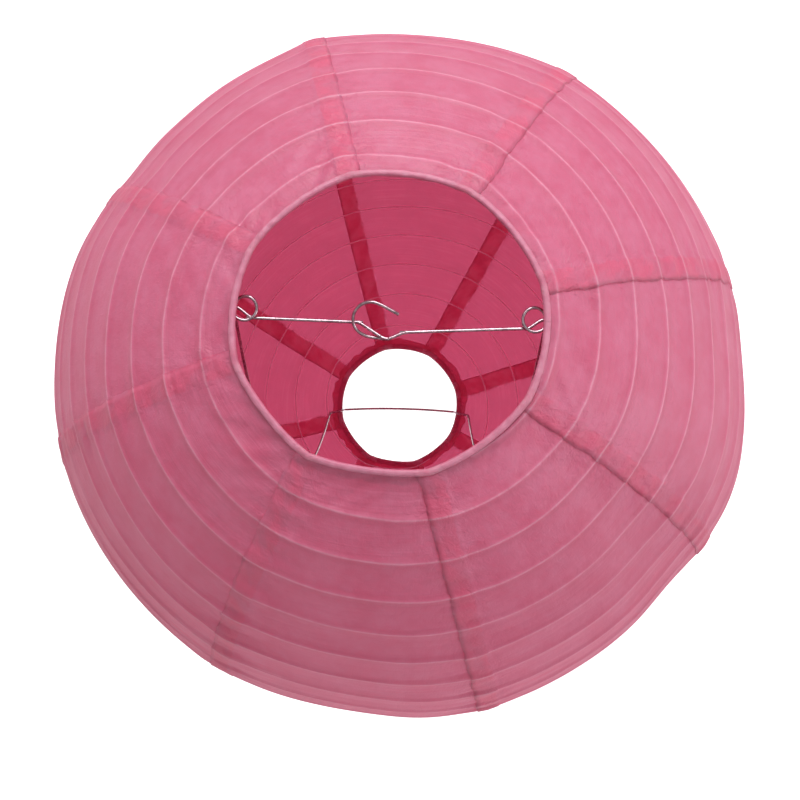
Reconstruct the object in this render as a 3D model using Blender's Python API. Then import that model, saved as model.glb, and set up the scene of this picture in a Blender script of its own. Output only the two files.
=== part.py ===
"""Round paper lantern: glued paper gores over one spiral rib, two rim rings and a wire expander.

Metres, +Z up. The origin is on the lantern's axis, at the height of the expander's crossbar.
"""

import math

import bmesh
import bpy
from mathutils import Matrix, Vector

MM = 0.001

# the paper globe
LANTERN_RADIUS = 150.0 * MM       # middle of the paper, at the equator
PAPER_THICKNESS = 0.5 * MM
GORE_COUNT = 8
FIRST_SEAM_ANGLE = math.radians(14.5)
LAP_WIDTH = 8.8 * MM              # glued overlap of two gores
LAP_RAMP = 1.2 * MM               # width over which the paper steps up onto its neighbour
GORE_ROWS = 18
GORE_COLUMNS = 5                  # strips between one lap and the next

# the wires, by diameter
RIM_WIRE = 1.6 * MM
RIB_WIRE = 0.7 * MM
FRAME_WIRE = 1.2 * MM

# the rims, by the radius of their wire's centre line
TOP_RIM_RADIUS = 56.4 * MM
BOTTOM_RIM_RADIUS = 32.3 * MM
RIM_SEGMENTS = 48
MOUTH_SQUEEZE = 0.036             # the ears stretch the mouth along X, so it narrows along Y

# the spiral rib
RIB_TURNS = 22
RIB_STEPS_PER_TURN = 32
RIB_START_ANGLE = math.radians(-60.0)

# clearances
TOUCH_GAP = 0.3 * MM              # between pieces that touch
WIRE_CROSSING_GAP = 0.40 * MM     # between two runs of the frame wire
EAR_RIM_GAP = 0.8 * MM            # between the top of an ear and the rim's wire above it
FOOT_RIM_GAP = 1.8 * MM           # between the foot and the bottom rim's wire below it
BAR_RIM_GAP = 1.3 * MM            # between the end of the bottom bar and the rim's wire
FOOT_RIB_GAP = 0.5 * MM           # between the foot's shoulder and the rib's turns

# the expander's ears, beside its crossbar
EAR_RADIUS = 4.4 * MM
EAR_OVERHANG = 0.1 * MM           # how far the ear's centre line stands inside the rim's
EAR_SIDE = 3.2 * MM               # the ear's centre beside the crossbar
EAR_LOOP_START = math.radians(48)
EAR_LOOP_END = math.radians(318)
EAR_KNEE = math.radians(336)      # where the loop turns down into the leg
EAR_STEPS = 20
EAR_RISE_STEPS = 5                # steps in which the loop climbs over the bar
EAR_BEND = 1.1 * MM
CHORD_LEAD = 3.0 * MM
CHORD_START = -0.56               # these three as shares of the ear's radius
CHORD_MIDDLE = (0.45, 0.02)
CHORD_END = (0.94, 0.14)

# its legs and feet
LEG_HEAD_DROP = 6.0 * MM          # top of the leg below the crossbar
LEG_HEAD_SHARE = 0.86             # top of the leg out from the ear's centre
LEG_BOW = 45.0 * MM
LEG_STEPS = 16
FOOT_OUTSIDE = 4.9 * MM           # shoulder of the foot outside the bottom rim's wire
STEP_INSIDE = 1.3 * MM
SHOULDER_FRONT = 5.3 * MM         # the foot runs back from the shoulder to the bar
STEP_FRONT = 3.9 * MM
BAR_FRONT = 2.9 * MM
BAR_LEAD = 4.0 * MM
BAR_BOW = 1.0 * MM                # the bottom bar's middle behind its ends
TOP_TURN = math.radians(-2.5)     # the frame sits slightly turned in the lantern
BOTTOM_TURN = math.radians(-1.3)
BEND_RADIUS = 1.5 * MM

# its V and hook, bent by hand, as points in millimetres from the middle of the crossbar
V_LEFT = ((-10.8, 0.0), (-2.0, -5.6), (0.0, -5.9))
V_RIGHT = ((5.5, -3.0), (-0.4, -5.8))
HOOK = (
    (-3.1, -5.5, 0.0),
    (-5.6, -5.3, 0.1),
    (-8.3, -4.8, 0.4),
    (-10.8, -3.6, 1.1),
    (-12.4, -1.6, 2.3),
    (-12.8, 0.6, 3.9),
    (-12.1, 3.0, 5.9),
    (-10.0, 5.0, 7.9),
    (-7.0, 5.9, 9.1),
    (-3.4, 5.2, 9.4),
    (3.4, 1.9, 9.0),
)

# places that follow from the sizes above
CROSSING_LIFT = FRAME_WIRE + WIRE_CROSSING_GAP      # one run of the frame wire over another
CROSSBAR_DROP = CROSSING_LIFT + FRAME_WIRE / 2 + EAR_RIM_GAP + RIM_WIRE / 2
FOOT_RISE = RIM_WIRE / 2 + FOOT_RIM_GAP + FRAME_WIRE / 2
BAR_INSIDE = RIM_WIRE / 2 + BAR_RIM_GAP + FRAME_WIRE / 2
TOP_RIM_POLAR = math.asin(TOP_RIM_RADIUS / LANTERN_RADIUS)
BOTTOM_RIM_POLAR = math.pi - math.asin(BOTTOM_RIM_RADIUS / LANTERN_RADIUS)
TOP_RIM_Z = CROSSBAR_DROP
CENTRE_Z = TOP_RIM_Z - LANTERN_RADIUS * math.cos(TOP_RIM_POLAR)
BOTTOM_RIM_Z = CENTRE_Z + LANTERN_RADIUS * math.cos(BOTTOM_RIM_POLAR)


def clear_scene():
    for obj in list(bpy.data.objects):
        bpy.data.objects.remove(obj, do_unlink=True)


def make_material(name, colour, roughness, metallic=0.0):
    material = bpy.data.materials.new(name)
    material.use_nodes = True
    shader = material.node_tree.nodes["Principled BSDF"]
    shader.inputs["Base Color"].default_value = (*colour, 1.0)
    shader.inputs["Roughness"].default_value = roughness
    shader.inputs["Metallic"].default_value = metallic
    return material


def add_object(name, data, material, parent=None):
    obj = bpy.data.objects.new(name, data)
    data.materials.append(material)
    bpy.context.scene.collection.objects.link(obj)
    obj.parent = parent
    return obj


def add_axis(name, height):
    """An empty on the lantern's axis, which carries one moving body."""
    empty = bpy.data.objects.new(name, None)
    empty.location = (0.0, 0.0, height)
    bpy.context.scene.collection.objects.link(empty)
    return empty


def on_globe(radius, polar, azimuth):
    """A point in the globe's own frame, whose polar angle starts at the top."""
    around = radius * math.sin(polar)
    squeeze = MOUTH_SQUEEZE * max(0.0, math.cos(polar)) ** 4
    return Vector((
        around * math.cos(azimuth),
        around * math.sin(azimuth) * (1 - squeeze),
        radius * math.cos(polar),
    ))


# ---------------------------------------------------------------- paper gores

def gore_columns(polar, seam, next_seam):
    """(azimuth, lift) of each column of one row, from the lapped edge to the tucked one."""
    around = LANTERN_RADIUS * math.sin(polar)
    half_lap = LAP_WIDTH / 2 / around
    ramp = LAP_RAMP / around
    edge_gap = TOUCH_GAP / around
    lift = PAPER_THICKNESS + TOUCH_GAP
    first = seam + half_lap + edge_gap + ramp
    last = next_seam - half_lap
    columns = [(seam - half_lap, lift), (seam + half_lap + edge_gap, lift)]
    for n in range(GORE_COLUMNS + 1):
        columns.append((first + (last - first) * n / GORE_COLUMNS, 0.0))
    columns.append((next_seam + half_lap, 0.0))
    return columns


def gore_mesh(name, seam):
    """A thin closed shell: two grids of points, joined along their four edges."""
    next_seam = seam + math.tau / GORE_COUNT
    clear_of_rim = (RIM_WIRE / 2 + TOUCH_GAP) / LANTERN_RADIUS
    top = TOP_RIM_POLAR + clear_of_rim
    bottom = BOTTOM_RIM_POLAR - clear_of_rim
    bm = bmesh.new()
    skins = []
    for side in (-0.5, 0.5):
        rows = []
        for n in range(GORE_ROWS + 1):
            polar = top + (bottom - top) * n / GORE_ROWS
            row = []
            for azimuth, lift in gore_columns(polar, seam, next_seam):
                radius = LANTERN_RADIUS + side * PAPER_THICKNESS + lift
                row.append(bm.verts.new(on_globe(radius, polar, azimuth)))
            rows.append(row)
        skins.append(rows)
    inner, outer = skins
    for n in range(GORE_ROWS):
        for m in range(len(inner[0]) - 1):
            bm.faces.new((outer[n][m], outer[n + 1][m], outer[n + 1][m + 1], outer[n][m + 1]))
            bm.faces.new((inner[n][m], inner[n][m + 1], inner[n + 1][m + 1], inner[n + 1][m]))
    close_edges(bm, inner, outer)
    bmesh.ops.triangulate(bm, faces=bm.faces[:])
    bmesh.ops.recalc_face_normals(bm, faces=bm.faces[:])
    mesh = bpy.data.meshes.new(name)
    bm.to_mesh(mesh)
    bm.free()
    return mesh


def close_edges(bm, inner, outer):
    def outline(rows):
        left = [row[0] for row in rows[:-1]]
        right = [row[-1] for row in rows[:0:-1]]
        return left + rows[-1][:-1] + right + rows[0][:0:-1]

    inside = outline(inner)
    outside = outline(outer)
    for n in range(len(inside)):
        after = (n + 1) % len(inside)
        bm.faces.new((inside[n], inside[after], outside[after], outside[n]))


# ---------------------------------------------------------------- wires

def wire_curve(name, points, diameter, sides_setting, closed=False):
    """A round wire along straight spans between the points."""
    curve = bpy.data.curves.new(name, "CURVE")
    curve.dimensions = "3D"
    curve.bevel_depth = diameter / 2
    curve.bevel_resolution = sides_setting
    curve.resolution_u = 1
    curve.render_resolution_u = 0
    curve.use_fill_caps = not closed
    spline = curve.splines.new("POLY")
    spline.points.add(len(points) - 1)
    for spline_point, point in zip(spline.points, points):
        spline_point.co = (*point, 1.0)
    spline.use_cyclic_u = closed
    return curve


def ring_points(polar):
    """The centre line of a rim's wire, at the height of its own plane."""
    height = Vector((0.0, 0.0, LANTERN_RADIUS * math.cos(polar)))
    points = []
    for n in range(RIM_SEGMENTS):
        points.append(on_globe(LANTERN_RADIUS, polar, math.tau * n / RIM_SEGMENTS) - height)
    return points


def rib_radius():
    """The rib's centre line, just inside the paper's flat facets."""
    row_angle = math.pi / GORE_ROWS
    column_angle = math.tau / GORE_COUNT / GORE_COLUMNS
    facet_dip = (2 - math.cos(row_angle / 2) - math.cos(column_angle / 2)) * LANTERN_RADIUS
    return LANTERN_RADIUS - PAPER_THICKNESS / 2 - facet_dip - TOUCH_GAP - RIB_WIRE / 2


def rib_points():
    """One spiral from rim to rim."""
    radius = rib_radius()
    clear_of_rim = (RIM_WIRE / 2 + TOUCH_GAP + RIB_WIRE) / LANTERN_RADIUS
    start = TOP_RIM_POLAR + clear_of_rim
    end = BOTTOM_RIM_POLAR - clear_of_rim
    steps = RIB_TURNS * RIB_STEPS_PER_TURN
    points = []
    for n in range(steps + 1):
        polar = start + (end - start) * n / steps
        azimuth = RIB_START_ANGLE + math.tau * n / RIB_STEPS_PER_TURN
        points.append(on_globe(radius, polar, azimuth))
    return points


def rounded(points, bend=BEND_RADIUS, steps=4):
    """The points, with each inner corner eased into a short curve."""
    eased = [points[0]]
    for before, corner, after in zip(points, points[1:], points[2:]):
        arm_in = min(bend, (before - corner).length * 0.45)
        arm_out = min(bend, (after - corner).length * 0.45)
        start = corner + (before - corner).normalized() * arm_in
        end = corner + (after - corner).normalized() * arm_out
        for n in range(steps + 1):
            t = n / steps
            eased.append(start * (1 - t) ** 2 + corner * 2 * t * (1 - t) + end * t**2)
    eased.append(points[-1])
    return eased


def smooth(points, steps=3):
    """A Catmull-Rom curve through the points."""
    padded = [points[0] * 2 - points[1], *points, points[-1] * 2 - points[-2]]
    curve = []
    for a, b, c, d in zip(padded, padded[1:], padded[2:], padded[3:]):
        for n in range(steps):
            t = n / steps
            curve.append((
                b * 2 + (c - a) * t
                + (a * 2 - b * 5 + c * 4 - d) * t**2
                + (b * 3 - a - c * 3 + d) * t**3
            ) / 2)
    curve.append(points[-1])
    return curve


def at(x, y, z=0.0):
    """A point given in millimetres."""
    return Vector((x, y, z)) * MM


# ---------------------------------------------------------------- expander

def ear_centre():
    reach = TOP_RIM_RADIUS - EAR_OVERHANG - EAR_RADIUS
    return Vector((reach, EAR_SIDE, 0.0))


def ear_points():
    """From the crossbar, under the loop, across it and round it, to the head of the leg."""
    centre = ear_centre()

    def beside(x, y, lift=0.0):
        return centre + Vector((x * EAR_RADIUS, y * EAR_RADIUS, lift))

    def on_loop(angle, lift):
        return beside(math.cos(angle), math.sin(angle), lift)

    under = beside(CHORD_START, -EAR_SIDE / EAR_RADIUS)
    lead = under - Vector((CHORD_LEAD, 0, 0))
    chord = [lead, under, beside(*CHORD_MIDDLE), beside(*CHORD_END)]
    loop = []
    for n in range(EAR_STEPS + 1):
        angle = EAR_LOOP_START + (EAR_LOOP_END - EAR_LOOP_START) * n / EAR_STEPS
        loop.append(on_loop(angle, CROSSING_LIFT * min(1.0, n / EAR_RISE_STEPS)))
    knee = on_loop(EAR_KNEE, CROSSING_LIFT)
    points = rounded([*chord, loop[0]], bend=EAR_BEND)
    points += loop[1:-1]
    points += rounded([loop[-1], knee, leg_head()], bend=EAR_BEND)
    return points


def leg_head():
    """The top of the leg, just below the outer side of the ear."""
    return ear_centre() + Vector((EAR_RADIUS * LEG_HEAD_SHARE, -EAR_SIDE, -LEG_HEAD_DROP))


def foot_points():
    """From the shoulder, over the bottom rim and down to the end of the bottom bar."""
    reach = rib_radius() - RIB_WIRE / 2 - FOOT_RIB_GAP - FRAME_WIRE / 2
    shoulder = Vector((BOTTOM_RIM_RADIUS + FOOT_OUTSIDE, -SHOULDER_FRONT, 0))
    shoulder.z = CENTRE_Z - math.sqrt(reach**2 - shoulder.xy.length_squared)
    over = Vector((BOTTOM_RIM_RADIUS - STEP_INSIDE, -STEP_FRONT, BOTTOM_RIM_Z + FOOT_RISE))
    bar_end = Vector((BOTTOM_RIM_RADIUS - BAR_INSIDE, -BAR_FRONT, BOTTOM_RIM_Z))
    return shoulder, over, bar_end


def leg_points(head, foot):
    """A leg that bows to the side, because the squeezed wire springs the rims apart."""
    points = []
    for n in range(LEG_STEPS + 1):
        t = n / LEG_STEPS
        bow = 4 * t * (1 - t) * LEG_BOW
        points.append(head.lerp(foot, t) + Vector((0, -bow, 0)))
    return points


def side_points():
    """One side of the frame, at +X, from the crossbar to the end of the bottom bar."""
    ear = ear_points()
    shoulder, over, bar_end = foot_points()
    leg = leg_points(leg_head(), shoulder)
    foot = rounded([leg[-2], shoulder, over, bar_end, bar_end - Vector((BAR_LEAD, 0, 0))])
    return ear + leg[1:-1] + foot[1:-1]


def bottom_bar_points(bar_end):
    """The bar across the bottom opening, bowed a little in the middle."""
    middle = bar_end + Vector((-bar_end.x, BAR_BOW, 0.0))
    near = bar_end.lerp(middle, 0.5) + Vector((0, BAR_BOW / 4, 0))
    mirrored = Vector((-near.x, near.y, near.z))
    return [mirrored, middle, near]


def mirror_x(points):
    return [Vector((-p.x, p.y, p.z)) for p in points]


def turned(points):
    """The frame's slight twist about the lantern's axis, from its top to its bottom."""
    result = []
    for point in points:
        share = min(1.0, max(0.0, point.z / BOTTOM_RIM_Z))
        angle = TOP_TURN + (BOTTOM_TURN - TOP_TURN) * share
        result.append(Matrix.Rotation(angle, 3, "Z") @ point)
    return result


def expander_points():
    """One wire: its first end lies over the V, its last end is the hook."""
    side = side_points()
    _, _, bar_end = foot_points()
    over_v = Vector((0, 0, CROSSING_LIFT))
    v_start, v_bottom, v_end = [at(x, y) for x, y in V_LEFT]
    left_end = rounded([v_end + over_v, v_bottom + over_v, v_start, mirror_x(side)[0]])
    bends = [at(x, y, z) for x, y, z in HOOK]
    right_end = rounded([side[0], *[at(x, y) for x, y in V_RIGHT], bends[0]])
    hook = smooth(bends)
    path = left_end[:-1] + mirror_x(side)
    path += bottom_bar_points(bar_end)
    path += side[::-1] + right_end[1:-1] + hook
    return turned(path)


# ---------------------------------------------------------------- assembly

def build_paper_body(body):
    paper = make_material("pink_paper", (0.68, 0.22, 0.33), 0.85)
    wire = make_material("rib_wire", (0.60, 0.58, 0.57), 0.40, 1.0)
    for n in range(GORE_COUNT):
        name = f"paper_gore_{n + 1}"
        seam = FIRST_SEAM_ANGLE + math.tau * n / GORE_COUNT
        gore = add_object(name, gore_mesh(name, seam), paper, body)
        gore.location.z = CENTRE_Z - body.location.z
    rib = wire_curve("spiral_rib", rib_points(), RIB_WIRE, 0)
    rib_object = add_object("spiral_rib", rib, wire, body)
    rib_object.location.z = CENTRE_Z - body.location.z
    rim = wire_curve("bottom_rim_ring", ring_points(BOTTOM_RIM_POLAR), RIM_WIRE, 2, closed=True)
    add_object("bottom_rim_ring", rim, wire, body)


def build_top_rim(body):
    wire = make_material("rim_wire", (0.60, 0.58, 0.57), 0.40, 1.0)
    rim = wire_curve("top_rim_ring", ring_points(TOP_RIM_POLAR), RIM_WIRE, 2, closed=True)
    add_object("top_rim_ring", rim, wire, body)


def build_expander():
    steel = make_material("galvanised_wire", (0.66, 0.64, 0.63), 0.30, 1.0)
    curve = wire_curve("wire_expander", expander_points(), FRAME_WIRE, 2)
    add_object("wire_expander", curve, steel)


def main():
    clear_scene()
    build_expander()
    paper_body = add_axis("paper_body_axis", BOTTOM_RIM_Z)
    top_rim = add_axis("top_rim_axis", TOP_RIM_Z)
    build_paper_body(paper_body)
    build_top_rim(top_rim)


main()
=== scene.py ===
import math

import bmesh
import bpy
import numpy as np
from mathutils import Matrix, Vector


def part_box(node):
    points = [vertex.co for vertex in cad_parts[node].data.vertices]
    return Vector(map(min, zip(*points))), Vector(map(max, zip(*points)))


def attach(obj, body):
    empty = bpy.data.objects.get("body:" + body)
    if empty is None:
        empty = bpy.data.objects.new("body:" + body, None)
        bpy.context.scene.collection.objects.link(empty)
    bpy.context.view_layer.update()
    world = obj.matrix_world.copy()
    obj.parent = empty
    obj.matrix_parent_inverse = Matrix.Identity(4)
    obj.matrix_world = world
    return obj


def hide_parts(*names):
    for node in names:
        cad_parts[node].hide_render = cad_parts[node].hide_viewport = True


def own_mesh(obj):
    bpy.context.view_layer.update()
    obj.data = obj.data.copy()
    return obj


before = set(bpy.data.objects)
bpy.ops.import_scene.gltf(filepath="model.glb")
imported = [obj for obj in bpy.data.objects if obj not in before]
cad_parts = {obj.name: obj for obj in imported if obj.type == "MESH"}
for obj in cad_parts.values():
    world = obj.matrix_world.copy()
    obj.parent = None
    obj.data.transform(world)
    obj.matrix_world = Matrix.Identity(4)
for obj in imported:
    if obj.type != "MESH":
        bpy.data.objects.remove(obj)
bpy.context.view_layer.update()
print("frame loaded:", len(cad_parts), "nodes")

# the globe, worked out from the two rims of the frame

lantern = {
    "gores": 8,
    "firstSeam": 14.5,       # degrees round from +X
    "lapWidth": 0.0088,
    "ribTurns": 22,
    "ribStart": -60.0,       # degrees, where the rib leaves the top rim
    "ribWire": 0.0007,
    "expanderWire": 0.0012,
    "mouthSqueeze": 0.036,   # the ears stretch the mouth along X
    "ribToRim": 0.0018,
    "ribDetail": 90,         # rings of the rib in each turn
    "ribGap": 0.0001,        # under the paper
    "rimDetail": 240,        # rings round a rim
}

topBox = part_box("top_rim_ring")
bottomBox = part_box("bottom_rim_ring")
rimWire = topBox[1].z - topBox[0].z
topZ = (topBox[0].z + topBox[1].z) / 2
bottomZ = (bottomBox[0].z + bottomBox[1].z) / 2
topRimRadius = (topBox[1].x - topBox[0].x - rimWire) / 2
bottomRimRadius = (bottomBox[1].x - bottomBox[0].x - rimWire) / 2
centreZ = (topRimRadius**2 - bottomRimRadius**2 + topZ**2 - bottomZ**2) / (2 * (topZ - bottomZ))
globeRadius = math.hypot(topRimRadius, topZ - centreZ)
topPolar = math.atan2(topRimRadius, topZ - centreZ)
bottomPolar = math.atan2(bottomRimRadius, bottomZ - centreZ)
ribFirst = topPolar + lantern["ribToRim"] / globeRadius
ribLast = bottomPolar - lantern["ribToRim"] / globeRadius
ribPitch = (ribLast - ribFirst) / lantern["ribTurns"]
goreAngle = math.tau / lantern["gores"]
halfLap = lantern["lapWidth"] / 2


def seamAngle(n):
    return math.radians(lantern["firstSeam"]) + goreAngle * n


def onGlobe(radius, polar, azimuth):
    around = radius * np.sin(polar)
    squeeze = 1 - lantern["mouthSqueeze"] * np.maximum(0, np.cos(polar)) ** 4
    x = around * np.cos(azimuth)
    y = around * np.sin(azimuth) * squeeze
    z = radius * np.cos(polar) + centreZ
    return np.stack(np.broadcast_arrays(x, y, z), axis=-1)


# how handling has pulled the paper out of true

wear = {
    "flats": [0.0010, 0.0022, 0.0032, 0.0004, -0.0002, 0.0022, 0.0012, 0.0],  # by gore
    "dents": [  # degrees round, how far out, and how many degrees wide
        (-20, 0.0032, 12), (-39, -0.0016, 7), (2, -0.0016, 9), (131, -0.0012, 7),
        (146, -0.0042, 11), (194.5, 0.0010, 14), (274, 0.0012, 8),
    ],
    "rimFlats": [0.0010, 0.0010, 0.0012, 0.0008, 0.0016, 0.0018, 0.0012, 0.0006],
    "topReach": 0.020,       # how far below the top rim its flats still show
    "bottomReach": 0.012,
    "lean": (0.0022, -0.0017),  # of the belly, off the line between the rims
    "sag": 0.00105,          # paper between two turns of the rib
    "sagEdge": 0.0020,
    "slackVaries": 0.35,
    "midFold": 0.00050,      # crease halfway between two turns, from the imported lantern
    "foldWander": 0.0006,
    "foldWidth": 0.0012,
    "pleat": 0.00060,        # puckers along the laps
    "pleatReach": 0.011,
    "crumple": 0.00110,      # creases beside the top rim
    "crumpleReach": 0.016,
    "foldLines": 0.00020,
    "wave": 0.0006,
}


def softNoise(seed, x, y, around=128):
    table = np.random.default_rng(seed).uniform(-1, 1, (around, 128))
    xCell = np.floor(x).astype(int)
    yCell = np.floor(y).astype(int)
    xPart = x - xCell
    yPart = y - yCell
    xPart = xPart * xPart * (3 - 2 * xPart)
    yPart = yPart * yPart * (3 - 2 * yPart)
    left, right = xCell % around, (xCell + 1) % around
    low, high = yCell % 128, (yCell + 1) % 128
    below = table[left, low] * (1 - xPart) + table[right, low] * xPart
    above = table[left, high] * (1 - xPart) + table[right, high] * xPart
    return below * (1 - yPart) + above * yPart


def roundNoise(seed, azimuth, y, around):
    return softNoise(seed, azimuth / math.tau * around, y, around)  # meets itself after a full turn


def roundTheCircle(azimuth, middle):
    return (azimuth - middle + math.pi) % math.tau - math.pi


def acrossGore(azimuth):
    share = (azimuth - seamAngle(0)) / goreAngle
    gore = np.floor(share).astype(int) % lantern["gores"]
    return gore, np.sin(math.pi * (share - np.floor(share)))


def outOfRound(polar, azimuth):
    gore, bulge = acrossGore(azimuth)
    moved = -np.array(wear["flats"])[gore] * bulge
    for angle, out, width in wear["dents"]:
        away = np.degrees(roundTheCircle(azimuth, math.radians(angle)))
        moved = moved + out * np.exp(-((away / width) ** 2))
    return moved * np.sin(polar) ** 2


def rimOffset(polar, azimuth):
    # the rims lie nearly straight between the seams, and the paper follows them
    gore, bulge = acrossGore(azimuth)
    flat = np.array(wear["rimFlats"])[gore] * bulge
    nearTop = np.exp(-(((polar - topPolar) * globeRadius / wear["topReach"]) ** 2))
    nearBottom = np.exp(-(((polar - bottomPolar) * globeRadius / wear["bottomReach"]) ** 2))
    return -flat * (nearTop + 0.5 * nearBottom)


def ribLines(polar, azimuth):
    # distance to the edge of the span above and of the span below, and which span it is
    turned = ((azimuth - math.radians(lantern["ribStart"])) / math.tau) % 1
    span = np.floor((polar - ribFirst) / ribPitch - turned)
    above = np.where(span < 0, topPolar, ribFirst + ribPitch * (turned + span))
    last = lantern["ribTurns"] - 1
    below = np.where(span >= last, bottomPolar, ribFirst + ribPitch * (turned + span + 1))
    up = np.maximum(0, polar - above) * globeRadius
    down = np.maximum(0, below - polar) * globeRadius
    return up, down, span


def sagBetween(polar, azimuth):
    up, down, span = ribLines(polar, azimuth)
    bend = lantern["ribWire"] * 0.5
    up = np.sqrt(up**2 + bend**2) - bend
    down = np.sqrt(down**2 + bend**2) - bend
    width = (up + down) / (ribPitch * globeRadius)
    edge = wear["sagEdge"]
    slack = 1 + wear["slackVaries"] * roundNoise(5, azimuth, span * 1.7, 16)
    sag = -wear["sag"] * slack * width * (1 - np.exp(-up / edge)) * (1 - np.exp(-down / edge))
    offMiddle = np.abs(up - down) / 2
    offMiddle = offMiddle + wear["foldWander"] * roundNoise(6, azimuth, span * 3.1, 90)
    kept = np.clip(roundNoise(7, azimuth, span * 2.3, 24) + 0.35, 0, 1) * np.sin(polar) ** 3
    fold = -wear["midFold"] * kept * width * np.exp(-np.abs(offMiddle) / wear["foldWidth"])
    return sag + fold


def wrinkles(polar, azimuth):
    up, down, span = ribLines(polar, azimuth)
    along = (polar - topPolar) * globeRadius
    seam = np.round((azimuth - seamAngle(0)) / goreAngle)
    away = (azimuth - seamAngle(0) - seam * goreAngle) * globeRadius * np.sin(polar)
    seam = seam % lantern["gores"]
    nearSeam = np.exp(-((away / wear["pleatReach"]) ** 2))
    moved = wear["pleat"] * nearSeam * softNoise(11, away * 55 + 9 + seam * 13.7, along * 210)
    finer = softNoise(31, away * 120 + 9 + seam * 11.3, along * 420)
    moved += wear["pleat"] * 0.6 * nearSeam * finer
    fromRim = np.exp(-along / wear["crumpleReach"]) * (1 - np.exp(-along / 0.002))
    slant = azimuth + along * 14
    moved += wear["crumple"] * fromRim * roundNoise(51, slant, along * 90, 72)
    folded = np.sin(polar) ** 4 * (0.5 + 0.5 * roundNoise(71, azimuth, along * 30, 60))
    clear = 1 - np.exp(-np.minimum(up, down) / 0.001)
    moved += wear["foldLines"] * folded * clear * roundNoise(91, azimuth, along * 480, 72)
    moved += wear["wave"] * roundNoise(111, azimuth, polar * 5, 16) * np.sin(polar) * (1 - nearSeam)
    return moved


def paperRadius(polar, azimuth):
    radius = globeRadius + sagBetween(polar, azimuth)
    return radius + outOfRound(polar, azimuth) + wrinkles(polar, azimuth)


def onPaper(radius, polar, azimuth):
    points = onGlobe(radius, polar, azimuth)
    pull = rimOffset(polar, azimuth)
    lean = np.maximum(np.sin(polar) ** 2 - math.sin(topPolar) ** 2, 0)
    points[..., 0] += pull * np.cos(azimuth) + wear["lean"][0] * lean
    points[..., 1] += pull * np.sin(azimuth) + wear["lean"][1] * lean
    return points


def makeObject(name, points, faces, materials, faceMaterials=None):
    mesh = bpy.data.meshes.new(name)
    faces = faces.tolist() if hasattr(faces, "tolist") else faces
    mesh.from_pydata(points.reshape(-1, 3).tolist(), [], faces)
    for material in materials:
        mesh.materials.append(material)
    if faceMaterials is not None:
        mesh.polygons.foreach_set("material_index", np.asarray(faceMaterials, dtype=np.int32))
    mesh.shade_smooth()
    obj = bpy.data.objects.new(name, mesh)
    bpy.context.scene.collection.objects.link(obj)
    return obj


def addVectors(obj, name, values):
    attribute = obj.data.attributes.new(name, "FLOAT_VECTOR", "POINT")
    attribute.data.foreach_set("vector", np.asarray(values, dtype=np.float32).reshape(-1))


def gridFaces(rows, columns, start, flip):
    row = np.arange(rows - 1)[:, None]
    column = np.arange(columns - 1)[None, :]
    a = start + row * columns + column
    b = a + columns
    quads = np.stack([a, b, b + 1, a + 1], axis=-1).reshape(-1, 4)
    return quads[:, ::-1] if flip else quads


class Signal:
    def __init__(self, finish, socket):
        self.finish = finish
        self.socket = socket

    def __add__(self, other):
        return self.finish.sum("ADD", self, other)

    def __sub__(self, other):
        return self.finish.sum("SUBTRACT", self, other)

    def __rsub__(self, other):
        return self.finish.sum("SUBTRACT", other, self)

    def __mul__(self, other):
        return self.finish.sum("MULTIPLY", self, other)

    def __abs__(self):
        return self.finish.sum("ABSOLUTE", self)

    __radd__ = __add__
    __rmul__ = __mul__


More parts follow.
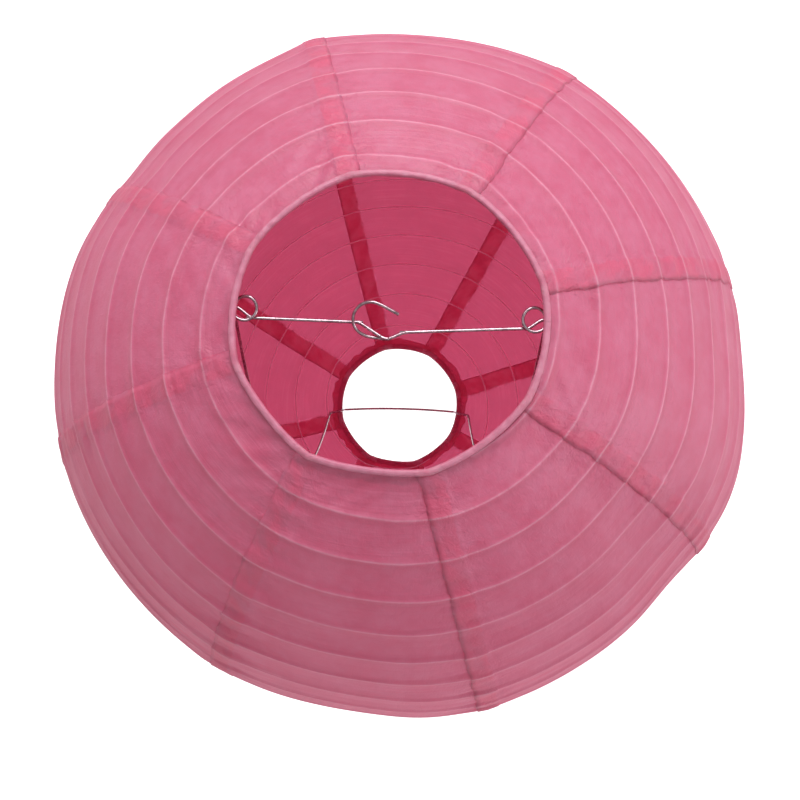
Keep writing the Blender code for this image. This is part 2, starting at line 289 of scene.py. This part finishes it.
class Finish:
    def __init__(self, name):
        self.material = bpy.data.materials.new(name)
        self.material.use_nodes = True
        self.tree = self.material.node_tree
        self.tree.nodes.clear()

    def node(self, kind, settings=None, inputs=None, out=0):
        made = self.tree.nodes.new(kind)
        for key, value in (settings or {}).items():
            if key == "stops":
                self.setStops(made.color_ramp, value)
            else:
                setattr(made, key, value)
        for key, value in (inputs or {}).items():
            if isinstance(value, Signal):
                self.tree.links.new(value.socket, made.inputs[key])
            else:
                made.inputs[key].default_value = value
        return Signal(self, made.outputs[out]) if made.outputs else made

    def setStops(self, ramp, stops):
        while len(ramp.elements) < len(stops):
            ramp.elements.new(0.5)
        for element, (place, colour) in zip(ramp.elements, stops):
            element.position = place
            element.color = (*colour, 1.0)

    def sum(self, operation, *values):
        return self.node("ShaderNodeMath", {"operation": operation}, dict(enumerate(values)))

    def smaller(self, a, b):
        return self.sum("MINIMUM", a, b)

    def ease(self, value, start, end):
        settings = {"interpolation_type": "SMOOTHSTEP", "clamp": True}
        inputs = {"Value": value, "From Min": start, "From Max": end}
        return self.node("ShaderNodeMapRange", settings, inputs)

    def between(self, value, low, high):
        inputs = {"Value": value, "To Min": low, "To Max": high}
        return self.node("ShaderNodeMapRange", {"clamp": True}, inputs)

    def tint(self, share, first, second, way="MIX"):
        settings = {"data_type": "RGBA", "blend_type": way, "clamp_factor": True}
        first = first if isinstance(first, Signal) else (*first, 1.0)
        second = second if isinstance(second, Signal) else (*second, 1.0)
        return self.node("ShaderNodeMix", settings, {0: share, 6: first, 7: second}, out=2)

    def carried(self, name):
        return self.node("ShaderNodeAttribute", {"attribute_name": name}, out=1)

    def parts(self, vector):
        split = self.tree.nodes.new("ShaderNodeSeparateXYZ")
        self.tree.links.new(vector.socket, split.inputs[0])
        return [Signal(self, output) for output in split.outputs]

    def stretched(self, vector, scale):
        return self.node("ShaderNodeVectorMath", {"operation": "MULTIPLY"}, {0: vector, 1: scale})

    def noise(self, vector, scale, detail=2.0, roughness=0.5, distortion=0.0):
        inputs = {"Vector": vector, "Scale": scale, "Detail": detail}
        inputs.update({"Roughness": roughness, "Distortion": distortion})
        return self.node("ShaderNodeTexNoise", None, inputs)

    def bump(self, height, strength, distance, under=None):
        inputs = {"Height": height, "Strength": strength, "Distance": distance}
        if under is not None:
            inputs["Normal"] = under
        return self.node("ShaderNodeBump", None, inputs)

    def show(self, surface):
        self.node("ShaderNodeOutputMaterial", None, {"Surface": surface})
        return self.material


tissue = {
    "thickness": 0.00022,
    "outside": {
        "deep": (0.73, 0.145, 0.295),
        "pale": (0.79, 0.255, 0.435),
        "paleHighlight": (0.97, 0.54, 0.70),    # painted highlight: along the rib, on the folds and on the top hem's roll
        "lap": (0.90, 0.120, 0.255),    # two layers glued together; also the painted shade along the small folds
        # painted shade beside the rib and painted shadow along a lap's free edge; also the real
        # dark flecks in the paper
        "shadeAndFleck": (0.50, 0.060, 0.140),
        "glow": (0.93, 0.40, 0.56),     # light from the other side
        "lapStrength": 0.58,
        "lapGlow": 0.0,
        "ribHighlightWidth": 0.0006,
        "foldShading": 0.55,
    },
    # the same dyed tissue as the outside, its deep and pale tones painted deeper and redder:
    # painted shade inside the globe
    "inside": {
        "deep": (0.61, 0.055, 0.180),
        "pale": (0.69, 0.105, 0.250),
        # painted highlight: pale lines along the rib seen from inside
        "paleHighlight": (0.98, 0.52, 0.68),
        "lap": (1.00, 0.720, 0.860),
        "shadeAndFleck": (0.50, 0.040, 0.110),
        "glow": (0.92, 0.40, 0.57),
        "lapStrength": 1.00,
        "lapGlow": 0.18,
        "ribHighlightWidth": 0.0011,
        "foldShading": 0.18,
    },
    "letsThrough": 0.50,
    "roughness": 0.54,
    "roughnessVaries": 0.1,
    "bend": 1.60,            # how strongly it mirrors, as an index of refraction
    "sheen": 0.10,
    "crinkle": 0.90,
    "crinkleHeight": 0.0008,
    "lapWaver": 0.0034,      # how far the edge of a lap wanders
    "lapBlur": 0.0004,
}


def tissueFinish(name, side):
    finish = Finish(name)
    tones = tissue[side]
    sheet = finish.carried("sheet")
    fromSeam, toSeam, ribAway = finish.parts(finish.carried("laps"))
    across, along, goreNumber = finish.parts(sheet)

    cloud = finish.noise(sheet, 70, 3, 0.55)
    blotch = finish.noise(sheet, 260, 2, 0.6)
    fibre = finish.noise(finish.stretched(sheet, (1500, 330, 60)), 1.0, 2, 0.6, 0.4)
    fleck = finish.ease(finish.noise(sheet, 620, 1, 0.5), 0.70, 0.80)

    # the two layers of a lap, with a wavering edge and patchy glue
    waver = finish.noise(finish.stretched(sheet, (20, 260, 60)), 1.0, 3, 0.6) - 0.5
    nearest = finish.smaller(abs(fromSeam), abs(toSeam)) + waver * tissue["lapWaver"]
    lap = 1 - finish.ease(nearest, halfLap - tissue["lapBlur"], halfLap + tissue["lapBlur"])
    patches = finish.noise(finish.stretched(sheet, (150, 95, 60)), 1.0, 2, 0.5)
    glue = finish.ease(patches, 0.36, 0.60)
    lapTone = lap * (glue * 0.75 + 0.25) * tones["lapStrength"]
    # painted shadow: a thin dark line along the free edge of a lap's upper layer
    edgeAway = abs(fromSeam + halfLap) if side == "outside" else abs(toSeam - halfLap)
    freeEdgeShadow = 1 - finish.ease(edgeAway, 0.0002, 0.0009)

    # a painted highlight along the rib under the paper, and a faint line of painted shade beside it
    ribHighlight = 1 - finish.ease(ribAway, 0.0001, tones["ribHighlightWidth"])
    besideRib = finish.ease(ribAway, 0.0006, 0.0013)
    besideRib = besideRib * (1 - finish.ease(ribAway, 0.0014, 0.0042))

    mottle = finish.ease(cloud * 0.6 + blotch * 0.4, 0.30, 0.70)
    base = finish.tint(mottle, tones["deep"], tones["pale"])
    base = finish.tint(finish.between(fibre, 0.0, 0.22), base, tones["pale"])
    base = finish.tint(lapTone, base, tones["lap"])
    base = finish.tint(besideRib * 0.16, base, tones["shadeAndFleck"])
    # painted highlight over the rib
    base = finish.tint(ribHighlight * finish.between(blotch, 0.25, 1.05), base, tones["paleHighlight"])
    # painted shadow under the lap's free edge
    base = finish.tint(freeEdgeShadow * glue * 0.40, base, tones["shadeAndFleck"])
    base = finish.tint(fleck * 0.20, base, tones["shadeAndFleck"])

    # fine crinkles, and the many small folds that run round the belly, with painted light and
    # painted shade along the folds
    folds = finish.noise(finish.stretched(sheet, (14, 620, 40)), 1.0, 3, 0.65)
    belly = finish.ease(along, 0.080, 0.140) * (finish.ease(cloud, 0.42, 0.58) * 0.7 + 0.3)
    foldShading = belly * tones["foldShading"]
    # painted shade on one side of each fold and painted highlight on the other, following the fold
    # bumps
    base = finish.tint(finish.ease(folds, 0.52, 0.62) * foldShading, base, tones["lap"])
    base = finish.tint((1 - finish.ease(folds, 0.36, 0.44)) * foldShading, base, tones["paleHighlight"])
    crinkle = finish.noise(sheet, 420, 3, 0.6, 0.6)
    nearLap = 1 - finish.ease(nearest, 0.002, 0.016)
    height = folds * 0.55 + crinkle * (nearLap * 0.6 + 0.4) + fibre * 0.12
    normal = finish.bump(height, tissue["crinkle"], tissue["crinkleHeight"])

    smoothest = tissue["roughness"] - tissue["roughnessVaries"]
    roughest = tissue["roughness"] + tissue["roughnessVaries"]
    paper = finish.node("ShaderNodeBsdfPrincipled", None, {
        "Base Color": base,
        "Roughness": finish.between(blotch, smoothest, roughest),
        "IOR": tissue["bend"],
        "Specular IOR Level": 1.0,
        "Sheen Weight": tissue["sheen"],
        "Sheen Roughness": 0.5,
        "Normal": normal,
    })
    glow = finish.node("ShaderNodeBsdfTranslucent", None, {"Color": (*tones["glow"], 1.0)})
    share = lap * tones["lapGlow"] + tissue["letsThrough"]
    through = finish.node("ShaderNodeMixShader", None, {0: share, 1: paper, 2: glow})
    return finish.show(through)


outsideTissue = tissueFinish("tissueOutside", "outside")
insideTissue = tissueFinish("tissueInside", "inside")
print("tissue finishes ready")

steel = {
    "frame": {
        # pink tinted: painted reflection of the pink paper in the steel
        "bright": (0.62, 0.45, 0.50),
        "dull": (0.26, 0.17, 0.20),
        "metal": 1.0,
        "roughness": 0.28,
    },
    "rib": {  # coated with glue and dye, and painted pale pink as a painted highlight of the light it takes from the paper
        "bright": (1.00, 0.80, 0.88),
        "dull": (0.96, 0.66, 0.76),
        "metal": 0.0,
        "roughness": 0.42,
    },
    "bumpStrength": 0.25,
    "bumpHeight": 0.00004,
}


def steelFinish(name, kind):
    finish = Finish(name)
    tones = steel[kind]
    place = finish.carried("wirePlace")
    drawn = finish.noise(finish.stretched(place, (1, 1, 0.05)), 2600, 2, 0.6)
    spangle = finish.noise(place, 900, 2, 0.5)
    stain = finish.ease(finish.noise(place, 160, 2, 0.5), 0.55, 0.75)
    base = finish.ease(spangle * 0.6 + drawn * 0.4, 0.3, 0.7)
    base = finish.tint(base, tones["dull"], tones["bright"])
    base = finish.tint(stain * 0.35, base, tones["dull"])
    rough = tones["roughness"] + (drawn - 0.5) * 0.16 + stain * 0.12
    height = drawn * 0.6 + spangle * 0.4
    normal = finish.bump(height, steel["bumpStrength"], steel["bumpHeight"])
    wire = finish.node("ShaderNodeBsdfPrincipled", None, {
        "Base Color": base,
        "Metallic": tones["metal"],
        "Roughness": rough,
        "Normal": normal,
    })
    return finish.show(wire)


frameSteel = steelFinish("frameSteel", "frame")
ribSteel = steelFinish("ribSteel", "rib")
print("steel finishes ready")


wireEnd = {"width": 0.78, "length": 0.18}  # of the wire's radius, at a cut end


def tube(name, path, radius, sides, material, closed=False):
    path = np.asarray(path)
    count = len(path)
    ahead = np.roll(path, -1, 0) - np.roll(path, 1, 0)
    if not closed:
        ahead[0] = path[1] - path[0]
        ahead[-1] = path[-1] - path[-2]
    ahead /= np.linalg.norm(ahead, axis=1)[:, None]
    side = np.cross(ahead[0], (0.0, 0.0, 1.0))
    if np.linalg.norm(side) < 0.1:
        side = np.cross(ahead[0], (1.0, 0.0, 0.0))
    angles = np.arange(sides) * math.tau / sides
    rings = np.zeros((count, sides, 3))
    for n in range(count):
        side = side - ahead[n] * np.dot(side, ahead[n])
        side /= np.linalg.norm(side)
        over = np.cross(ahead[n], side)
        circle = np.cos(angles)[:, None] * side + np.sin(angles)[:, None] * over
        rings[n] = path[n] + radius * circle
    run = np.concatenate([[0], np.cumsum(np.linalg.norm(np.diff(path, axis=0), axis=1))])
    place = np.zeros((count, sides, 3))
    place[..., 0] = radius * np.cos(angles)
    place[..., 1] = radius * np.sin(angles)
    place[..., 2] = run[:, None]
    if not closed:  # cut ends with a small bevel
        for end, inner in ((0, 1), (-1, -2)):
            tip = path[end] + (rings[end] - path[end]) * wireEnd["width"]
            outward = path[end] - path[inner]
            tip = tip + outward / np.linalg.norm(outward) * radius * wireEnd["length"]
            rings = np.concatenate([tip[None], rings] if end == 0 else [rings, tip[None]])
            place = np.concatenate([place[:1], place] if end == 0 else [place, place[-1:]])
    rows = len(rings)
    faces = []
    for n in range(rows if closed else rows - 1):
        after = (n + 1) % rows
        for m in range(sides):
            beside = (m + 1) % sides
            near, far = n * sides, after * sides
            faces.append((near + m, near + beside, far + beside, far + m))
    if not closed:
        faces.append(tuple(range(sides - 1, -1, -1)))
        faces.append(tuple((rows - 1) * sides + m for m in range(sides)))
    obj = makeObject(name, rings, faces, [material])
    addVectors(obj, "wirePlace", place)
    return obj


def smoothPath(points, steps):
    points = np.asarray(points)
    before = points[0] * 2 - points[1]
    beyond = points[-1] * 2 - points[-2]
    padded = np.concatenate([[before], points, [beyond]])
    a, b, c, d = padded[:-3], padded[1:-2], padded[2:-1], padded[3:]
    squares = a * 2 - b * 5 + c * 4 - d
    cubes = b * 3 - a - c * 3 + d
    curve = []
    for n in range(steps):
        t = n / steps
        curve.append((b * 2 + (c - a) * t + squares * t**2 + cubes * t**3) / 2)
    return np.concatenate([np.stack(curve, axis=1).reshape(-1, 3), points[-1:]])


def wireMiddle(node):
    # the centre line of a node's wire, ring by ring from one of its cut ends
    bm = bmesh.new()
    bm.from_mesh(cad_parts[node].data)
    bmesh.ops.remove_doubles(bm, verts=bm.verts, dist=1e-6)
    bm.verts.index_update()
    caps = bm.copy()
    bmesh.ops.dissolve_limit(caps, angle_limit=0.004, verts=caps.verts, edges=caps.edges)
    ends = []
    for face in caps.faces:
        middle = face.calc_center_median()
        reach = [(v.co - middle).length for v in face.verts]
        if len(face.verts) >= 6 and max(reach) - min(reach) < 2e-5:
            ends.append([v.co.copy() for v in face.verts])
    caps.free()
    ring = [v for v in bm.verts if any((v.co - co).length < 2e-6 for co in ends[0])]
    seen = set(ring)
    middles = []
    while ring:
        middles.append(sum((v.co for v in ring), Vector()) / len(ring))
        after = {e.other_vert(v) for v in ring for e in v.link_edges} - seen
        seen |= after
        ring = sorted(after, key=lambda v: v.index)  # the same sum in every run
    bm.free()
    return middles


middles = wireMiddle("wire_expander")
print("expander path:", len(middles), "rings")
bentPath = smoothPath(middles, 3)
expander = tube("expander_wire", bentPath, lantern["expanderWire"] / 2, 16, frameSteel)
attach(expander, "expander")
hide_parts("wire_expander")


def rimTube(name, polar):
    azimuth = np.linspace(0, math.tau, lantern["rimDetail"] + 1)[:-1]
    path = onPaper(np.full_like(azimuth, globeRadius), np.full_like(azimuth, polar), azimuth)
    return tube(name, path, rimWire / 2, 12, frameSteel, closed=True)


topWire = rimTube("top_rim_wire", topPolar)
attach(topWire, "top_rim")
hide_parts("top_rim_ring")
bottomWire = rimTube("bottom_rim_wire", bottomPolar)
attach(bottomWire, "paper_body")
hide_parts("bottom_rim_ring")


def foldsFlat(obj):
    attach(obj, "paper_body")
    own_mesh(obj)


ribSteps = np.linspace(0, 1, lantern["ribTurns"] * lantern["ribDetail"] + 1)
ribPolar = ribFirst + (ribLast - ribFirst) * ribSteps
ribAzimuth = math.radians(lantern["ribStart"]) + math.tau * lantern["ribTurns"] * ribSteps
ribCover = tissue["thickness"] / 2 + lantern["ribWire"] / 2 + lantern["ribGap"]
ribPath = onPaper(paperRadius(ribPolar, ribAzimuth) - ribCover, ribPolar, ribAzimuth)
rib = tube("rib_wire", ribPath, lantern["ribWire"] / 2, 8, ribSteel)
foldsFlat(rib)
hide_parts("spiral_rib")
print("wires made")

cut = {
    "rows": 400,
    "lapColumns": [-1.0, -0.5, 0.0, 0.5, 1.0],  # in half lap widths from the seam
    "fieldColumns": 44,
    "crowding": 0.05,        # of the columns towards the laps
    "ragged": 0.10,          # how uneven the scissors left the lapped edge
    "raggedFine": 0.05,
    "rimGap": 0.0003,
    "step": 0.0012,          # from the top of a lap down to the sheet
    "glue": 0.00006,
    "curl": 0.00008,
    "flat": (0.127, 0.385),
    "area": 0.037,
}


def goreSheet(n):
    seam = seamAngle(n)
    nextSeam = seamAngle(n + 1)
    clear = (rimWire / 2 + cut["rimGap"]) / globeRadius
    rowPolar = np.linspace(topPolar + clear, bottomPolar - clear, cut["rows"])[:, None]
    reach = halfLap / (globeRadius * np.sin(rowPolar))
    ragged = 1 + cut["ragged"] * softNoise(161 + n, rowPolar * 30, rowPolar * 0)
    ragged = ragged + cut["raggedFine"] * softNoise(181 + n, rowPolar * 120, rowPolar * 0)
    columns = [seam + share * reach * (ragged if share < 0 else 1) for share in cut["lapColumns"]]
    step = cut["step"] / (globeRadius * np.sin(rowPolar))
    fieldStart = seam + reach + step
    fieldEnd = nextSeam - reach
    for m in range(cut["fieldColumns"]):
        t = m / cut["fieldColumns"]
        t = t - cut["crowding"] * math.sin(math.tau * t)
        columns.append(fieldStart + (fieldEnd - fieldStart) * t)
    columns += [nextSeam + share * reach for share in cut["lapColumns"]]
    azimuth = np.concatenate([np.broadcast_to(c, rowPolar.shape) for c in columns], axis=1)
    polar = np.broadcast_to(rowPolar, azimuth.shape).copy()

    # rows gather towards the turns of the rib
    turned = (azimuth - math.radians(lantern["ribStart"])) / math.tau
    phase = (polar - ribFirst) / ribPitch - turned
    phase = phase - np.round(phase)
    gathered = 0.3 * phase + 0.7 * np.sign(phase) * np.abs(2 * phase) ** 1.7 / 2
    ends = np.clip(np.minimum(polar - topPolar, bottomPolar - polar) / ribPitch, 0, 1)
    polar += (gathered - phase) * ribPitch * ends

    sine = globeRadius * np.sin(polar)
    fromSeam = (azimuth - seam) * sine
    toSeam = (azimuth - nextSeam) * sine
    across = (azimuth - (seam + nextSeam) / 2) * sine
    along = (polar - topPolar) * globeRadius
    up, down, span = ribLines(polar, azimuth)

    radius = paperRadius(polar, azimuth)

    # the near edge lies glued on top of the last gore's edge
    lift = tissue["thickness"] + cut["glue"]
    climb = np.clip((halfLap + cut["step"] - fromSeam) / cut["step"], 0, 1)
    curl = cut["curl"] * np.clip((halfLap * 0.2 - fromSeam) / halfLap, 0, 1) ** 3
    radius += climb * lift + curl * (1 + softNoise(131 + n, along * 160, along * 0))

    half = tissue["thickness"] / 2
    skins = [onPaper(radius - half, polar, azimuth), onPaper(radius + half, polar, azimuth)]
    rows, count = azimuth.shape
    size = rows * count
    faces = [gridFaces(rows, count, 0, True), gridFaces(rows, count, size, False)]
    index = np.arange(size).reshape(rows, count)
    sides = [index[:-1, 0], index[-1, :-1], index[:0:-1, -1], index[0, :0:-1]]
    outline = np.concatenate(sides)
    after = np.roll(outline, -1)
    faces.append(np.stack([outline, after, after + size, outline + size], axis=-1))
    slots = np.zeros(sum(len(part) for part in faces))
    slots[: len(faces[0])] = 1  # the inner skin
    skins, faces = np.stack(skins), np.concatenate(faces)
    obj = makeObject(f"gore_{n + 1}", skins, faces, [outsideTissue, insideTissue], slots)
    sheet = np.stack([across, along, np.full_like(across, n * 0.37)], axis=-1)
    laps = np.stack([fromSeam, toSeam, np.minimum(up, down)], axis=-1)
    addVectors(obj, "sheet", np.stack([sheet, sheet]))
    addVectors(obj, "laps", np.stack([laps, laps]))
    return obj


for n in range(lantern["gores"]):
    gore = goreSheet(n)
    foldsFlat(gore)
    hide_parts(f"paper_gore_{n + 1}")
print("gores made")

# hems, where the paper is folded over each rim

hem = {
    "roll": [  # millimetres down the globe and out from it, round the wire
        (1.20, 0.62), (0.80, 0.92), (0.0, 1.08), (-0.76, 0.78), (-1.08, 0.0),
        (-0.78, -0.76), (0.0, -1.10), (0.8, -1.02), (1.7, -0.84),
    ],
    "flap": [(1.45, -0.66), (2.1, -0.48), (3.3, -0.36), (4.5, -0.34)],
    "steps": 720,
    "crinkle": 0.00022,
    "crinkles": 120,
    "flapWave": 0.0009,
    "flapWaves": 76,
    "restsFrom": 0.0008,     # where it begins to lie against the gores
    "restsOver": 0.0015,
    "paper": 0.0002,
    "rollHighlightShare": 0.3,         # how much of the painted highlight tone the top roll takes
}


def hemRing(name, polar, way, seed, part, topRollHighlight=False):
    profile = smoothPath([(u / 1000, v / 1000, 0.0) for u, v in hem[part]], 3)[:, :2]
    isFlap = part == "flap"
    azimuth = np.linspace(0, math.tau, hem["steps"] + 1)[:-1][:, None]
    share = np.linspace(0, 1, len(profile))[None, :]
    wave = hem["flapWave"] * roundNoise(seed + 1, azimuth, share * 0, hem["flapWaves"])
    along = profile[None, :, 0] + isFlap * wave * share
    crinkle = hem["crinkle"] * roundNoise(seed, azimuth, share * 3, hem["crinkles"])
    lift = profile[None, :, 1] + crinkle

    # away from the roll it lies against the gores
    paper = paperRadius(polar + way * along / globeRadius, azimuth + 0 * along) - globeRadius
    lift = lift + np.clip((along - hem["restsFrom"]) / hem["restsOver"], 0, 1) * paper
    slope = np.gradient(profile, axis=0)
    slope /= np.linalg.norm(slope, axis=1)[:, None]
    skins = []
    for half in (hem["paper"] / 2, -hem["paper"] / 2):
        a = along - slope[None, :, 1] * half
        b = lift + slope[None, :, 0] * half
        skins.append(onPaper(globeRadius + b, polar + way * a / globeRadius, azimuth + 0 * a))
    ring = np.concatenate([skins[0], skins[1][:, ::-1]], axis=1)
    rows, size = ring.shape[:2]
    row = np.arange(rows)[:, None]
    column = np.arange(size)[None, :]
    after = (row + 1) % rows
    beside = (column + 1) % size
    near, far = row * size, after * size
    faces = np.stack([near + column, far + column, far + beside, near + beside], axis=-1)
    faces = faces.reshape(-1, 4)[:, ::-way]
    slots = np.broadcast_to((column < size // 2) == isFlap, (rows, size)).reshape(-1)
    obj = makeObject(name, ring, faces, [outsideTissue, insideTissue], slots)

    # the flap is a second layer, so it takes the tone of a lap
    sine = globeRadius * math.sin(polar)
    seamShare = np.abs(roundTheCircle((azimuth - seamAngle(0)) * lantern["gores"], 0.0))
    fromSeam = 0.0 if isFlap else seamShare / lantern["gores"] * sine
    bothWays = np.concatenate([profile[:, 0], profile[::-1, 0]])[None, :]
    ribAway = 0.01 + 0 * bothWays
    # painted highlight along the middle of the top hem's roll
    if topRollHighlight:
        ribAway = np.abs(bothWays) * hem["rollHighlightShare"] + 0.00015
    sheet = np.broadcast_arrays(azimuth * sine, bothWays, 0.5)
    laps = np.broadcast_arrays(fromSeam + 0 * azimuth, 0.05, ribAway)
    addVectors(obj, "sheet", np.stack(sheet, axis=-1))
    addVectors(obj, "laps", np.stack(laps, axis=-1))
    return obj


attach(hemRing("top_hem", topPolar, 1, 201, "roll", topRollHighlight=True), "top_rim")
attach(hemRing("bottom_hem", bottomPolar, -1, 221, "roll"), "paper_body")
foldsFlat(hemRing("top_hem_flap", topPolar, 1, 201, "flap"))
foldsFlat(hemRing("bottom_hem_flap", bottomPolar, -1, 221, "flap"))
print("hems made")

studio = {
    "floorDrop": 0.55,
    "floorHalf": 12.0,
    "floorColour": (0.92, 0.92, 0.92),
    "floorGlow": 0.60,
    "skyStrength": 0.46,
    "keyPower": 20.5,
    "keyPlace": (0.0, 1.02, 1.15),
    "keySize": 1.0,
    "sidePower": 7.5,
    "sidePlace": (1.40, -0.35, 0.45),
    "sideSize": 0.9,
    "cameraAway": 4.49,      # globe radii from the globe's centre
    "cameraTilt": 7.25,      # degrees off the axis
    "cameraSide": 0.9,
    "lens": 67.95,
    "shift": (0.006, -0.036),
    "clip": (0.01, 60),
}


def floorFinish():
    finish = Finish("paleFloor")
    place = finish.node("ShaderNodeTexCoord", out=3)
    grain = finish.noise(place, 40, 2, 0.5)
    tone = finish.tint(grain, studio["floorColour"], [c * 0.985 for c in studio["floorColour"]])
    board = finish.node("ShaderNodeBsdfPrincipled", None, {
        "Base Color": tone,
        "Roughness": 0.9,
        "Specular IOR Level": 0.1,
        "Emission Color": (1.0, 1.0, 1.0, 1.0),
        "Emission Strength": studio["floorGlow"],
    })
    return finish.show(board)


floorMesh = bpy.data.meshes.new("floor")
floorZ = bottomZ - studio["floorDrop"]
half = studio["floorHalf"]
corners = [(x, y, floorZ) for x, y in ((-half, -half), (half, -half), (half, half), (-half, half))]
floorMesh.from_pydata(corners, [], [(0, 1, 2, 3)])
floorMesh.materials.append(floorFinish())
floor = bpy.data.objects.new("floor", floorMesh)
bpy.context.scene.collection.objects.link(floor)

world = bpy.data.worlds.new("studio")
world.use_nodes = True
world.node_tree.nodes["Background"].inputs[0].default_value = (1.0, 1.0, 1.0, 1.0)
world.node_tree.nodes["Background"].inputs[1].default_value = studio["skyStrength"]
bpy.context.scene.world = world

middle = Vector((0, 0, centreZ))


def softbox(name, place, size, power):
    data = bpy.data.lights.new(name, "AREA")
    data.shape = "DISK"
    data.size = size
    data.energy = power
    lamp = bpy.data.objects.new(name, data)
    lamp.location = middle + Vector(place)
    lamp.rotation_mode = "QUATERNION"
    lamp.rotation_quaternion = (-Vector(place)).to_track_quat("-Z", "Y")
    bpy.context.scene.collection.objects.link(lamp)


softbox("key", studio["keyPlace"], studio["keySize"], studio["keyPower"])
softbox("side", studio["sidePlace"], studio["sideSize"], studio["sidePower"])

camera = bpy.data.objects.new("camera", bpy.data.cameras.new("camera"))
tilt = math.radians(studio["cameraTilt"])
side = math.radians(studio["cameraSide"])
away = Vector((math.sin(side) * math.cos(tilt), -math.sin(tilt), math.cos(side) * math.cos(tilt)))
away.normalize()
camera.location = middle + away * studio["cameraAway"] * globeRadius
ahead = -away
across = ahead.cross(Vector((0, 1, 0))).normalized()
upward = across.cross(ahead)
camera.rotation_mode = "QUATERNION"
camera.rotation_quaternion = Matrix((across, upward, -ahead)).transposed().to_quaternion()
camera.data.lens = studio["lens"]
camera.data.sensor_width = 36
camera.data.shift_x, camera.data.shift_y = studio["shift"]
camera.data.clip_start, camera.data.clip_end = studio["clip"]
bpy.context.scene.collection.objects.link(camera)
bpy.context.scene.camera = camera
bpy.context.scene.view_settings.view_transform = "Standard"
print("studio ready")
